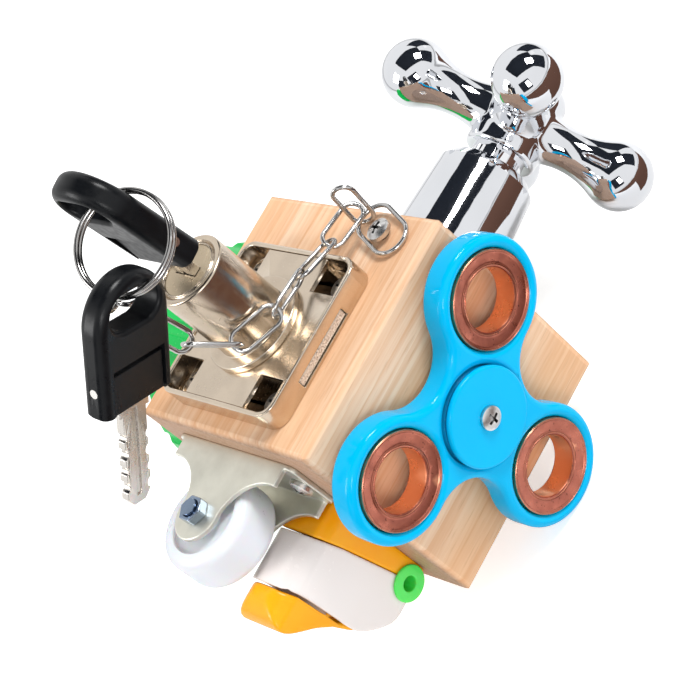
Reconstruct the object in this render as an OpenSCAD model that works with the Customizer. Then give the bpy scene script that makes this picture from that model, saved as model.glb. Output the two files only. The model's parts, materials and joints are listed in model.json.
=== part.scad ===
// Busy cube: a wooden block that carries a tray lock with two folding keys on a chain,
// a three-lobed spinner, a cross-handle tap, a plate caster, a snap toy and a fluted dial.
// The block stands on its bare face. +Z is up, out of the lock face, +X is out of the
// spinner face and +Y is out of the tap face. The origin is the middle of the bare face.

/* [Block] */
// Edge length of the wooden block
block_side = 60; // [56:1:70]
// Rounding of the block's edges
block_round = 1.6; // [0.8:0.2:3]

/* [Lock] */
// Outer length and width of the lock's tray
lock_side = 40; // [38:1:44]
// Height of the tray's rim over the block
lock_height = 6; // [5.6:0.2:8]
// Wall of the tray
lock_wall = 1.2; // [0.8:0.1:1.6]
// How far the lock's middle lies from the block's middle
lock_shift = 5.5; // [4:0.5:7]
// Radius of the lock's cylinder
barrel_r = 9; // [8.5:0.25:10]
// Height of the cylinder's end face over the block
barrel_top = 28.3; // [24:0.5:32]
// Radius of the turning plug
plug_r = 6.4; // [6:0.1:6.8]
// Width of the bolt
bolt_w = 18; // [14:1:18]
// Travel of the bolt for a quarter turn of the plug
bolt_throw = 7; // [5:0.5:7]

/* [Keys] */
// Width of a key's head
head_w = 21; // [20:0.5:23]
// Thickness of a key's head
head_t = 6.6; // [6:0.2:7.4]
// Length of a key's head
head_l = 29.5; // [28:0.5:33]
// Radius of the fold pin
fold_pin_r = 1; // [0.8:0.1:1.3]
// Height of the fold pin over the foot of the head
fold_pin_h = 6; // [5:0.5:7]
// Width of the steel blade
blade_w = 7; // [6:0.25:7.5]
// Thickness of the steel blade
blade_t = 2; // [1.6:0.1:2.2]
// Length of the blade beyond its base
blade_l = 22; // [18:0.5:24]

/* [Chain and ring] */
// Diameter of the chain's wire
wire_d = 1.1; // [0.8:0.1:1.2]
// Outer length of a chain link
link_l = 13.6; // [12.6:0.2:14]
// Outer width of a chain link
link_w = 6; // [5.6:0.1:6.4]
// Middle radius of the key ring's wire
ring_r = 10.9; // [10.4:0.1:11.4]
// Diameter of the key ring's wire
ring_wire_d = 1.2; // [1:0.1:1.3]

/* [Spinner] */
// Distance from the spinner's axis to the middle of each lobe
lobe_reach = 25; // [23:0.5:27]
// Outer radius of a lobe
lobe_r = 14.1; // [13.8:0.1:15]
// Thickness of the spinner's body
spinner_t = 7; // [6:0.25:8]
// Gap from the block to the spinner's body
spinner_gap = 2; // [1.5:0.25:3]
// Outer radius of the copper rings and of the bearing
bearing_r = 11; // [10.6:0.1:11.2]
// Radius of the hole in each copper ring
ring_hole_r = 7; // [6:0.25:8]
// Radius of the middle cap
cap_r = 11.3; // [10:0.1:12]
// Turn of the spinner at rest
spinner_turn = 33.63; // [0:1:120]

/* [Tap] */
// Radius of the tap's skirt at the block
skirt_r = 13.5; // [12.5:0.25:15]
// Radius of the skirt at its top
skirt_top_r = 12; // [11:0.25:12.5]
// Height of the skirt over the block
skirt_h = 30; // [26:0.5:31]
// Height of the handle's arms over the block
arm_h = 43.5; // [42:0.5:48]
// Distance from the tap's axis to the middle of each ball end
arm_reach = 27; // [24:0.5:30]
// Radius of the ball ends
ball_r = 8.4; // [7:0.1:9]
// Radius of the handle's hub
hub_r = 9; // [8:0.25:10]

/* [Caster] */
// Radius of the caster's wheel
wheel_r = 12.2; // [11:0.1:13]
// Width of the caster's wheel
wheel_w = 11.4; // [10:0.2:12]
// Distance from the block to the wheel's axle
axle_drop = 16.3; // [15.5:0.1:18]
// Height of the caster's middle over the bare face
caster_z = 46.5; // [44:0.5:48]
// Radius of the caster's axle
axle_r = 2; // [1.5:0.1:2.5]
// Thickness of the caster's sheet metal
sheet_t = 1.2; // [1:0.1:1.5]

/* [Snap toy] */
// Width of the toy
toy_w = 15; // [13:0.5:16]
// Wall of the toy's cover
toy_wall = 1.5; // [1.2:0.1:1.8]
// Outer radius of the toy's eyelet
eyelet_r = 4.4; // [4:0.1:4.8]

/* [Dial] */
// Outer radius of the fluted dial
dial_r = 28.5; // [24:0.5:29]
// Height of the dial
dial_h = 18; // [12:0.5:22]
// Number of flutes
dial_flutes = 24; // [16:2:32]

/* [Hidden] */

$fn = 64;
EPS = 0.01;
SLIP = 0.06;            // radial play of a turning fit
CLEAR = 0.3;            // play between pieces that pass each other
half = block_side / 2;

// Lock: heights over the bare face, and places measured from the lock's middle
floor_t = 0.8;
floor_z = block_side + floor_t;
rim_z = block_side + lock_height;
lock_round = 4;
cover_t = 1;
cover_arm = 21;         // width of the cover's crossed arms
cover_z = rim_z - 0.4 - cover_t;
plug_z = cover_z - 0.2;
cam_t = 1.3;
cam_r = 7.6;
cam_z = plug_z - cam_t;
bolt_z = floor_z + 0.2;
bolt_t = cam_z - CLEAR - bolt_z;
bolt_back = -10;
collar_z = cover_z + cover_t;
collar_t = 1.8;
collar_r = barrel_r + 3;
neck_r = barrel_r - 0.9;
barrel_z = block_side + barrel_top;
plug_end_z = barrel_z - 0.3;
drive_pin_r = 1.2;
drive_r = bolt_throw / sqrt(2);
drive_angle = 225;
slot_play = 0.25;
case_screw = lock_side / 2 - 5.4;
pan_r = 2.8;            // small pan-head screw: head and shank
pan_t = 1.8;
shank_r = 1.4;
shank_l = 9;

// Keys: the head's frame has its foot at the origin, its width along X, its length along Z
edge_r = 2.4;
window_edge = 1;
window_drop = 7.6;      // from the head's top to the middle of its window
window_r = 4;
window_run = 3.2;
base_w = 15;
base_t = 5.6;
base_top = fold_pin_h + 3.2;
base_foot = 0.3;
shoulder_w = 9;
shoulder_l = 3;
keyway_w = blade_w + 0.4;
keyway_t = blade_t + 0.3;
// Places measured from the middle of the cylinder's end face
key1_lean = 5.1;
key1_rise = 12.4;       // to the first key's fold pin
key1_tip_z = barrel_z + key1_rise - fold_pin_h + base_foot - shoulder_l - blade_l;
key2_foot = [8, -31, 0.9];
key2_turn = [24.2, 34.9, 106.2];
ring_at = [9.2, -6.7, 21.8];
ring_tilt = [0, 28.9, -34.2];

// Chain: where each link starts and ends, and its turn about its own length.
// Links 0 to 7 are measured from the block's lock face, links 8 and 9 from the
// middle of the cylinder's end face.
chain_screw_at = [16, 24];
big_link_l = 16.4;
big_link_w = 9.8;
link_from = [[22.8, 21.7, 0.9], [9.5, 26.4, 1.3], [8.5, 27.3, 4.6], [9.8, 16.5, 6.9],
  [10.5, 6.5, 9.8], [12.1, -3.8, 11.6], [9.8, -14.1, 14.4], [5.7, -19.5, 22.2],
  [-2.5, -7.8, 4.6], [1.8, -15.2, 11.8]];
link_to = [[10.2, 27.3, 2.2], [10.8, 26.7, 12.4], [9.8, 16.5, 6.9], [10.5, 6.5, 9.8],
  [12.1, -3.8, 11.6], [9.8, -14.1, 14.4], [5.7, -19.5, 22.2], [3.7, -20.6, 33.1],
  [1.8, -15.2, 11.8], [8.1, -17.7, 20.3]];
link_roll = [-88, 23, 54, -78, -36, 36, -48, 51, 47, -71];

// Spinner: the waist between two lobes is cut by a round of waist_cut_r
spinner_x = half + spinner_gap;
spinner_edge = 1.2;
waist = 13.7;
waist_cut_r = (waist * waist + lobe_reach * lobe_reach - waist * lobe_reach - lobe_r * lobe_r)
  / (lobe_reach + 2 * lobe_r - 2 * waist);
waist_cut_reach = waist + waist_cut_r;
lap = 0.25;             // the waist cuts run this far into the lobes
spinner_screw_r = 2.7;
web_step = 0.1;         // the web is this much lower than the lobes, at either face
ball_track_r = bearing_r * 0.66;
ball_pocket_r = 2;
bearing_ball_r = ball_pocket_r - CLEAR;
inner_race_r = ball_track_r - 1.5;
outer_race_r = ball_track_r + 1.5;
bore_r = 4;
cap_t = 1.5;

// Tap: heights over the block
rim_h = skirt_h - 2.4;
stem_r = 4;
// The stem's wide part, seen between the skirt and the hub
stem_neck_r = 6.5;
stem_neck_z = skirt_h - 7 + CLEAR;
skirt_floor = 3;
skirt_lip = 2;
hub_foot = arm_h - 9.5;
hub_top = arm_h + 11.5;
hub_dome = 4.5;
neck_arm_r = 5.2;
flare_r = 18;
flare_run = sqrt(pow(flare_r + ball_r, 2) - pow(flare_r + neck_arm_r, 2));
flare_start = arm_reach - flare_run;
flare_end = flare_run * flare_r / (flare_r + ball_r);
button_r = hub_r - hub_dome;

// Caster: measured outwards from the block
fork_gap = wheel_w + 1.6;
leg_z = fork_gap / 2;
axle_y = -half - axle_drop;
plate_x = 21;
plate_screw_x = plate_x - 3.6;
fork_tip_r = 6.5;
leg_root = 18.5;
leg_scoop_r = 11;
axle_head_r = 3.6;
axle_head_t = 1.4;
nut_w = 5.8;
nut_t = 2.4;

// Snap toy: side outlines are drawn as [height, depth below the block's face]
toy_x = 12.5;
// Length of the toy, the height of its middle and the radius of its upright edges
toy_l = 35.2;
toy_mid_z = 21;
toy_end = toy_mid_z + toy_l / 2;
toy_round = 5;
jaw_round = 7;
jaw_w = 6;
jaw_pin = [11.4, 16];
toy_pin_r = 1;
eyelet_at = [8.6, 4.9];
eyelet_hole_r = 1.8;
toy_screw_z = 24;
toy_seat = 3;

// Dial
dial_gap = 1;
dial_wall = 3;
dial_bore_r = 3;
flute_r = 2.4;
washer_t = 1;

// ---- Shapes that several pieces share ----

// A rectangle with round corners, about the origin
module round_rect(w, h, r) {
  square([w - 2 * r, h], center = true);
  square([w, h - 2 * r], center = true);
  for (sx = [-1, 1], sy = [-1, 1])
    translate([sx * (w / 2 - r), sy * (h / 2 - r)]) circle(r);
}

// Outline of a cutter that widens in a quarter round at both faces of a plate
module flare_profile(r, t, e) {
  difference() {
    translate([0, -t / 2 - EPS]) square([r + e, t + 2 * EPS]);
    translate([r, -t / 2 + e]) square([e + EPS, t - 2 * e]);
    for (s = [-1, 1]) translate([r + e, s * (t / 2 - e)]) circle(e);
  }
}

// Round cutter of that outline, about Z
module spool(r, t, e) {
  rotate_extrude() flare_profile(r, t, e);
}

// Disc with bevelled rims from z = 0
module bevelled_disc(r, t, e) {
  rotate_extrude() polygon([[0, 0], [r - e, 0], [r, e], [r, t - e], [r - e, t], [0, t]]);
}

// Round cutter that bevels both edges of a plate of half_t to either side of z = 0
module bevelled_spool(r, half_t, e) {
  past = half_t + 1;
  rotate_extrude() polygon([[0, -past], [r + e + 1, -past], [r, e - half_t], [r, half_t - e],
    [r + e + 1, past], [0, past]]);
}

// Disc with rounded rims from z = 0
module round_disc(r, t, e) {
  rotate_extrude() {
    square([r - e, t]);
    translate([0, e]) square([r, t - 2 * e]);
    for (z = [e, t - e]) translate([r - e, z]) circle(e);
  }
}

// Ring from z = 0
module tube(r_out, r_in, h) {
  difference() {
    cylinder(r = r_out, h = h);
    translate([0, 0, -EPS]) cylinder(r = r_in, h = h + 2 * EPS);
  }
}

// Pan-head screw: the head stands on z = 0 and the shank goes down from it
module pan_screw(head_r, head_t, shaft_r, shaft_l) {
  difference() {
    union() {
      rotate_extrude() intersection() {
        square([head_r, head_t]);
        translate([0, head_t - 2 * head_r]) circle(2 * head_r);
      }
      translate([0, 0, -shaft_l]) cylinder(r = shaft_r, h = shaft_l + EPS);
    }
    for (a = [0, 90]) rotate([0, 0, a]) translate([0, 0, head_t])
      cube([head_r * 1.1, head_r * 0.26, head_t * 1.2], center = true);
  }
}

// Oval wire link, standing along Z about the origin
module oval_link(l, w, d) {
  bend = (w - d) / 2;
  run = l / 2 - w / 2;
  for (s = [-1, 1]) {
    translate([s * bend, 0, -run]) cylinder(d = d, h = 2 * run);
    translate([0, 0, s * run]) rotate([s * 90, 0, 0]) rotate_extrude(angle = 180)
      translate([bend, 0]) circle(d = d);
  }
}

// Puts what stands along Z halfway between two points, turned about its own length
module between(a, b, roll) {
  d = b - a;
  translate((a + b) / 2) rotate([0, acos(d[2] / norm(d)), atan2(d[1], d[0])])
    rotate([0, 0, roll]) children();
}

// The faces of the block: each turns +Z to that face's outward direction
module on_lock() { translate([0, -lock_shift, 0]) children(); }
module on_spinner(x) { translate([x, 0, half]) rotate([0, 90, 0]) children(); }
module on_tap(y) { translate([0, y, half]) rotate([-90, 0, 0]) children(); }
module on_dial(x) { translate([x, 0, half]) rotate([0, -90, 0]) children(); }
module on_barrel() { translate([0, -lock_shift, barrel_z]) children(); }
module on_key1() {
  on_barrel() translate([0, 0, key1_rise]) rotate([key1_lean, 0, 0])
    translate([0, 0, -fold_pin_h]) children();
}
module on_key1_blade() { on_barrel() translate([0, 0, key1_rise - fold_pin_h]) children(); }
module on_key2() { on_barrel() translate(key2_foot) rotate(key2_turn) children(); }

// Places of the repeated screws
module at_case_screws() {
  on_lock() for (sx = [-1, 1], sy = [-1, 1])
    translate([sx * case_screw, sy * case_screw, floor_z]) children();
}
module at_caster_screws() {
  for (s = [-1, 1]) translate([s * plate_screw_x, -half - sheet_t, caster_z])
    rotate([90, 0, 0]) children();
}

// ---- Block ----
module block() {
  color("burlywood") difference() {
    translate([0, 0, half]) intersection() {
      linear_extrude(block_side, center = true) round_rect(block_side, block_side, block_round);
      rotate([90, 0, 0])
        linear_extrude(block_side, center = true) round_rect(block_side, block_side, block_round);
      rotate([0, 90, 0])
        linear_extrude(block_side, center = true) round_rect(block_side, block_side, block_round);
    }
    at_case_screws() pilot(floor_t);
    at_caster_screws() pilot(sheet_t);
    translate([chain_screw_at[0], chain_screw_at[1], block_side + 1.3]) pilot(1.3);
    on_spinner(half) pilot(0, 12, bore_r - 2);
    on_dial(-half) pilot(0, 12, 2);
    toy_screw_place() pilot(toy_seat);
  }
}

// Hole for a screw whose head stands a height over the wood
module pilot(over, deep = shank_l, r = shank_r) {
  translate([0, 0, -over - deep]) cylinder(r = r + SLIP, h = deep + over + EPS);
}

// ---- Lock ----
module lock_case() {
  inner = lock_side - 2 * lock_wall;
  color("silver") on_lock() difference() {
    translate([0, 0, block_side]) linear_extrude(lock_height)
      round_rect(lock_side, lock_side, lock_round);
    translate([0, 0, floor_z]) linear_extrude(lock_height)
      round_rect(inner, inner, lock_round - lock_wall);
    translate([inner / 2 - 1, -bolt_w / 2 - 0.2, floor_z])
      cube([lock_wall + 2, bolt_w + 0.4, bolt_t + 0.4]);
    for (sx = [-1, 1], sy = [-1, 1])
      translate([sx * case_screw, sy * case_screw, floor_z]) pilot(0, floor_t + EPS);
  }
}

module lock_cover() {
  inner = lock_side - 2 * lock_wall - 0.2;
  color("lightgray") on_lock() {
    difference() {
      translate([0, 0, cover_z]) linear_extrude(cover_t) {
        square([inner, cover_arm], center = true);
        square([cover_arm, inner], center = true);
      }
      translate([0, 0, cover_z - EPS]) cylinder(r = neck_r + SLIP, h = cover_t + 2 * EPS);
    }
    // Feet that stand on the tray's floor
    for (s = [-1, 1]) translate([0, s * (inner / 2 - 0.5), (floor_z + cover_z) / 2])
      cube([cover_arm - 4, 1, cover_z - floor_z], center = true);
    translate([-inner / 2 + 0.5, 0, (floor_z + cover_z) / 2])
      cube([1, cover_arm - 4, cover_z - floor_z], center = true);
  }
}

module lock_cylinder() {
  color("silver") on_lock() difference() {
    rotate_extrude() {
      translate([0, cover_z]) square([neck_r, cover_t + EPS]);
      translate([0, collar_z]) square([collar_r, collar_t]);
      translate([0, collar_z]) square([barrel_r, barrel_z - collar_z - 0.6]);
      translate([0, collar_z]) square([barrel_r - 0.6, barrel_z - collar_z]);
      translate([barrel_r - 0.6, barrel_z - 0.6]) circle(0.6);
    }
    translate([0, 0, cover_z - EPS]) cylinder(r = plug_r + SLIP, h = barrel_z);
    translate([0, 0, barrel_z - 0.5]) tube(plug_r + 1.1, plug_r + 0.5, 1);
  }
}

module lock_plug() {
  depth = plug_end_z - key1_tip_z + CLEAR;
  color("gold") on_lock() difference() {
    translate([0, 0, plug_z]) cylinder(r = plug_r, h = plug_end_z - plug_z);
    translate([-keyway_w / 2, -keyway_t / 2, plug_end_z - depth])
      cube([keyway_w, keyway_t, depth + 1]);
  }
}

module lock_cam() {
  color("darkgray") on_lock() {
    translate([0, 0, cam_z]) cylinder(r = cam_r, h = cam_t);
    rotate([0, 0, drive_angle]) translate([drive_r, 0, bolt_z + 0.2])
      cylinder(r = drive_pin_r, h = cam_z - bolt_z - 0.2 + EPS);
  }
}

module lock_bolt() {
  slot_w = 2 * (drive_pin_r + slot_play);
  slot_x = drive_r * cos(drive_angle);
  slot_end = drive_r + drive_pin_r + slot_play;
  slot_start = drive_r * sin(45) - drive_pin_r - slot_play;
  color("lightgray") on_lock() difference() {
    translate([bolt_back, -bolt_w / 2, bolt_z])
      cube([lock_side / 2 - 0.4 - bolt_back, bolt_w, bolt_t]);
    translate([slot_x - slot_w / 2, -slot_end, bolt_z - EPS])
      cube([slot_w, slot_end - slot_start, bolt_t + 2 * EPS]);
  }
}

module lock_screws() {
  color("silver") at_case_screws() pan_screw(pan_r, pan_t, shank_r, shank_l);
}

// ---- Keys ----
// Cutter for the round-ended window through a head
module window_cutter() {
  translate([0, 0, head_l - window_drop]) rotate([90, 0, 0]) {
    for (s = [-1, 1]) translate([s * window_run, 0, 0]) spool(window_r, head_t, window_edge);
    rotate([90, 0, 90]) linear_extrude(2 * window_run, center = true) {
      flare_profile(window_r, head_t, window_edge);
      mirror([1, 0]) flare_profile(window_r, head_t, window_edge);
    }
  }
}

// Plastic head: an arch with rounded rims, a window, and a slot for the blade's base
module key_head() {
  crown = head_l - head_w / 2;
  difference() {
    union() {
      translate([0, 0, 0.6]) linear_extrude(crown - 0.6) round_rect(head_w, head_t, edge_r);
      linear_extrude(0.6 + EPS) round_rect(head_w - 1, head_t - 1, edge_r - 0.5);
      translate([0, head_t / 2, crown]) rotate([90, 0, 0])
        round_disc(head_w / 2, head_t, edge_r);
    }
    window_cutter();
    translate([-base_w / 2 - 0.2, -head_t, -EPS])
      cube([base_w + 0.4, 2 * head_t, base_top + 1.4]);
    translate([0, 0, fold_pin_h]) rotate([0, 90, 0])
      cylinder(r = fold_pin_r + SLIP, h = head_w + 1, center = true);
  }
}

module key_base() {
  difference() {
    translate([-base_w / 2, -base_t / 2, base_foot])
      cube([base_w, base_t, base_top - base_foot]);
    translate([0, 0, fold_pin_h]) rotate([0, 90, 0])
      cylinder(r = fold_pin_r + SLIP, h = base_w + 1, center = true);
  }
}

module key_pin() {
  translate([0, 0, fold_pin_h]) rotate([0, 90, 0])
    cylinder(r = fold_pin_r, h = head_w - 0.2, center = true);
}

// Steel blade with a shoulder, a pointed tip, a groove down each side and cut edges
module key_blade() {
  top = base_foot - shoulder_l;
  difference() {
    union() {
      translate([-shoulder_w / 2, -blade_t / 2, top])
        cube([shoulder_w, blade_t, shoulder_l]);
      rotate([90, 0, 0]) linear_extrude(blade_t, center = true) polygon([
        [-blade_w / 2, top + EPS], [blade_w / 2, top + EPS],
        [blade_w / 2, top - blade_l + 2], [blade_w / 4, top - blade_l],
        [-blade_w / 4, top - blade_l], [-blade_w / 2, top - blade_l + 2]]);
    }
    for (s = [-1, 1]) translate([0, s * blade_t / 2, top - blade_l / 2 + 1.5])
      cube([blade_w * 0.2, blade_t * 0.35, blade_l - 1], center = true);
    for (i = [0:3], s = [-1, 1])
      translate([s * (blade_w / 2 + 0.5), 0, top - 5 - i * 4 - (s + 1) * 0.9])
        rotate([90, 0, 0]) cylinder(r = 1.1 + (i % 2) * 0.3, h = blade_t + 1, center = true);
  }
}

module key1_blade() { color("silver") on_key1_blade() key_blade(); }
module key1_base() { color("dimgray") on_key1_blade() key_base(); }
module key1_head() { color([0.08, 0.08, 0.09]) on_key1() key_head(); }
module key1_pin() { color("silver") on_key1() key_pin(); }
module key2_blade() { color("silver") on_key2() key_blade(); }
module key2_base() { color("dimgray") on_key2() key_base(); }
module key2_head() { color([0.08, 0.08, 0.09]) on_key2() key_head(); }
module key2_pin() { color("silver") on_key2() key_pin(); }

// Split ring: two turns of wire that touch
module key_ring() {
  color("silver") on_barrel() translate(ring_at) rotate(ring_tilt)
    for (s = [-1, 1]) translate([0, 0, s * (ring_wire_d / 2 - EPS)])
      rotate_extrude() translate([ring_r, 0]) circle(d = ring_wire_d);
}

// ---- Chain ----
module chain_screw() {
  color("silver") translate([chain_screw_at[0], chain_screw_at[1], block_side + 1.3])
    pan_screw(pan_r, pan_t, shank_r, shank_l);
}

module chain_link(i) {
  base = i < 8 ? [0, 0, block_side] : [0, -lock_shift, barrel_z];
  color("silver") translate(base) between(link_from[i], link_to[i], link_roll[i])
    if (i == 0) oval_link(big_link_l, big_link_w, wire_d);
    else oval_link(link_l, link_w, wire_d);
}

// ---- Spinner ----
// Places of the three lobes, in the plane of the spinner
module at_lobes() {
  for (i = [0:2]) rotate([0, 0, 90 + spinner_turn + 120 * i])
    translate([lobe_reach, 0, 0]) children();
}

module spinner_body() {
  color([0.1, 0.5, 0.75]) on_spinner(spinner_x) difference() {
    union() {
      at_lobes() bevelled_disc(lobe_r, spinner_t, spinner_edge);
      spinner_web();
    }
    at_lobes() ring_seat();
    ring_seat();
  }
}

// What joins the lobes, a touch thinner than they are, with a waist between each two
module spinner_web() {
  difference() {
    translate([0, 0, web_step]) linear_extrude(spinner_t - 2 * web_step)
      rotate([0, 0, 90 + spinner_turn]) polygon([
        for (i = [0:5]) let (r = i % 2 == 0 ? lobe_reach : waist_cut_reach)
          [r * cos(60 * i), r * sin(60 * i)]]);
    for (i = [0:2]) rotate([0, 0, 150 + spinner_turn + 120 * i])
      translate([waist_cut_reach, 0, spinner_t / 2])
        bevelled_spool(waist_cut_r + lap, spinner_t / 2 - web_step, spinner_edge);
  }
}

// Bore for a copper ring or for the bearing
module ring_seat() {
  translate([0, 0, -EPS]) cylinder(r = bearing_r + SLIP, h = spinner_t + 2 * EPS);
}

module spinner_rings() {
  face = spinner_t - 0.3;
  color([0.8, 0.45, 0.3]) on_spinner(spinner_x) at_lobes() rotate_extrude() polygon([
    [ring_hole_r, 0.8], [ring_hole_r + 0.8, 0], [bearing_r, 0], [bearing_r, spinner_t + 0.1],
    [bearing_r - 0.5, spinner_t + 0.1], [bearing_r - 0.7, face], [ring_hole_r + 1, face - 0.3],
    [ring_hole_r + 0.8, face], [ring_hole_r + 0.3, face], [ring_hole_r, face - 0.3]]);
}

// Groove that the balls run in
module ball_track() {
  translate([0, 0, spinner_t / 2]) rotate_extrude() translate([ball_track_r, 0])
    circle(ball_pocket_r);
}

module bearing_outer() {
  color("silver") on_spinner(spinner_x) difference() {
    tube(bearing_r, outer_race_r, spinner_t);
    ball_track();
  }
}

module bearing_balls() {
  color("gainsboro") on_spinner(spinner_x) for (i = [0:6]) rotate([0, 0, i * 360 / 7])
    translate([ball_track_r, 0, spinner_t / 2]) sphere(bearing_ball_r);
}

module bearing_inner() {
  color("silver") on_spinner(spinner_x) difference() {
    tube(inner_race_r, bore_r, spinner_t);
    ball_track();
  }
}

// Cap over the bearing, on the inner race
module spinner_cap() {
  color([0.1, 0.5, 0.75]) on_spinner(spinner_x + spinner_t) difference() {
    union() {
      cylinder(r = inner_race_r, h = CLEAR + EPS);
      translate([0, 0, CLEAR]) round_disc(cap_r, cap_t, 0.6);
    }
    translate([0, 0, -EPS]) cylinder(r = bore_r - 2 + SLIP, h = CLEAR + cap_t + 1);
  }
}

// Post between the block and the inner race, with a spigot in the race's bore
module spinner_spacer() {
  color("silver") on_spinner(half) difference() {
    union() {
      cylinder(r = inner_race_r, h = spinner_gap);
      cylinder(r = bore_r - SLIP, h = spinner_gap + spinner_t);
    }
    translate([0, 0, -EPS])
      cylinder(r = bore_r - 2 + SLIP, h = spinner_gap + spinner_t + 1);
  }
}

module spinner_screw() {
  over = spinner_gap + spinner_t + CLEAR + cap_t;
  color("silver") on_spinner(half + over)
    pan_screw(spinner_screw_r, 1.5, bore_r - 2, over + 11);
}

// ---- Tap ----
module tap_skirt() {
  color("gainsboro") on_tap(half) difference() {
    union() {
      cylinder(r1 = skirt_r, r2 = skirt_top_r, h = rim_h);
      translate([0, 0, rim_h]) cylinder(r1 = skirt_top_r, r2 = skirt_top_r - 2, h = skirt_h - rim_h);
    }
    translate([0, 0, skirt_floor])
      cylinder(r = skirt_top_r - 3.4, h = skirt_h - skirt_floor - skirt_lip);
    translate([0, 0, skirt_floor]) cylinder(r = stem_neck_r + CLEAR, h = skirt_h);
  }
}

// Valve body in the skirt: a hexagon with the stem's bore
module tap_valve() {
  color("darkgray") on_tap(half + skirt_floor) difference() {
    union() {
      cylinder(r = skirt_top_r - 3.6, h = 12);
      translate([0, 0, 12]) cylinder(r = skirt_top_r - 4, h = 8, $fn = 6);
    }
    translate([0, 0, 2]) cylinder(r = stem_r + SLIP, h = 20);
  }
}

module tap_stem() {
  color("gainsboro") on_tap(half) {
    translate([0, 0, 5.2]) cylinder(r = stem_r, h = hub_foot - 5.2);
    translate([0, 0, stem_neck_z]) cylinder(r = stem_neck_r, h = hub_foot - stem_neck_z);
  }
}

// Handle: a domed hub with four arms that widen into ball ends
module tap_handle() {
  color("gainsboro") on_tap(half) {
    difference() {
      rotate_extrude() {
        translate([0, hub_foot]) square([hub_r - 1, 1.01]);
        translate([hub_r - 1, hub_foot + 1]) circle(1);
        translate([0, hub_foot + 1]) square([hub_r, hub_top - hub_dome - hub_foot - 1]);
        translate([0, hub_top - hub_dome - EPS]) square([hub_r - hub_dome, hub_dome + EPS]);
        intersection() {
          translate([hub_r - hub_dome, hub_top - hub_dome]) circle(hub_dome);
          translate([0, hub_top - hub_dome - 1]) square([hub_r, hub_dome + 1]);
        }
      }
      translate([0, 0, hub_top - 1]) cylinder(r = button_r, h = 2);
    }
    for (i = [0:3]) rotate([0, 0, 45 + 90 * i]) translate([0, 0, arm_h]) rotate([0, 90, 0]) arm();
  }
}

// One arm, along Z from the hub's middle
module arm() {
  rotate_extrude() {
    translate([0, hub_r / 2]) square([neck_arm_r, flare_start - hub_r / 2 + EPS]);
    translate([0, flare_start]) difference() {
      square([ball_r, flare_end]);
      translate([neck_arm_r + flare_r, 0]) circle(flare_r, $fn = 160);
    }
    intersection() {
      translate([0, arm_reach]) circle(ball_r);
      translate([0, flare_start]) square([ball_r, flare_run + ball_r]);
    }
  }
}

module tap_button() {
  color("gainsboro") on_tap(half + hub_top - 1) cylinder(r = button_r - SLIP, h = 1.4);
}

// ---- Caster ----
// Side of a leg: across, and down from the block, with a scoop out of each flank
module leg_side() {
  difference() {
    translate([-leg_root, 0]) square([2 * leg_root, axle_drop]);
    for (s = [-1, 1]) translate([s * (leg_scoop_r + fork_tip_r - 0.3), axle_drop])
      circle(leg_scoop_r, $fn = 96);
  }
  translate([0, axle_drop]) circle(fork_tip_r);
}

module caster_fork() {
  color([0.6, 0.63, 0.6]) difference() {
    translate([0, -half, caster_z]) rotate([90, 0, 0]) {
      // Plate on the block
      linear_extrude(sheet_t) round_rect(2 * plate_x, 2 * (leg_z + sheet_t), 2);
      // Two legs
      for (s = [-1, 1]) translate([0, s * (leg_z + sheet_t / 2), 0]) rotate([-90, 0, 0])
        linear_extrude(sheet_t, center = true) mirror([0, 1]) leg_side();
    }
    translate([0, axle_y, caster_z]) cylinder(r = axle_r + SLIP, h = 40, center = true);
    at_caster_screws() pilot(0, sheet_t + EPS);
  }
}

module caster_wheel() {
  color([0.92, 0.92, 0.88]) translate([0, axle_y, caster_z - wheel_w / 2]) difference() {
    round_disc(wheel_r, wheel_w, 2.4);
    translate([0, 0, -EPS]) cylinder(r = axle_r + SLIP, h = wheel_w + 1);
    for (z = [-EPS, wheel_w - 1.2]) translate([0, 0, z]) tube(wheel_r - 3.4, axle_r + 2, 1.2 + EPS);
  }
}

module caster_axle() {
  foot = caster_z - leg_z - sheet_t;
  color([0.6, 0.63, 0.6]) translate([0, axle_y, 0]) {
    translate([0, 0, foot - axle_head_t / 2])
      cylinder(r = axle_r, h = axle_head_t / 2 + fork_gap + 2 * sheet_t + nut_t + 0.6);
    translate([0, 0, foot - axle_head_t]) cylinder(r = axle_head_r, h = axle_head_t);
  }
}

module caster_nut() {
  color([0.6, 0.63, 0.6]) translate([0, axle_y, caster_z + leg_z + sheet_t]) difference() {
    cylinder(d = nut_w / cos(30), h = nut_t, $fn = 6);
    translate([0, 0, -EPS]) cylinder(r = axle_r + SLIP, h = nut_t + 1);
  }
}

module caster_screws() {
  color("silver") at_caster_screws() pan_screw(pan_r, pan_t, shank_r, shank_l);
}

// ---- Snap toy ----
// Turns a side outline [height, depth] into a plate across the toy's width
module toy_plate(w) {
  translate([toy_x, -half, 0]) rotate([0, -90, 0]) linear_extrude(w, center = true)
    mirror([0, 1]) children();
}
// A pin or hole across the toy
module toy_cross(at, r, w) {
  translate([toy_x, -half - at[1], at[0]]) rotate([0, 90, 0]) cylinder(r = r, h = w, center = true);
}

module toy_screw_place() {
  translate([toy_x, -half - toy_seat, toy_screw_z]) rotate([90, 0, 0]) children();
}

// Rounds the toy's four upright edges
module toy_rounded(r = toy_round) {
  intersection() {
    children();
    translate([toy_x, -half + 1, toy_mid_z]) rotate([90, 0, 0]) linear_extrude(34)
      round_rect(toy_w + 0.2, toy_l, r);
  }
}

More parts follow.
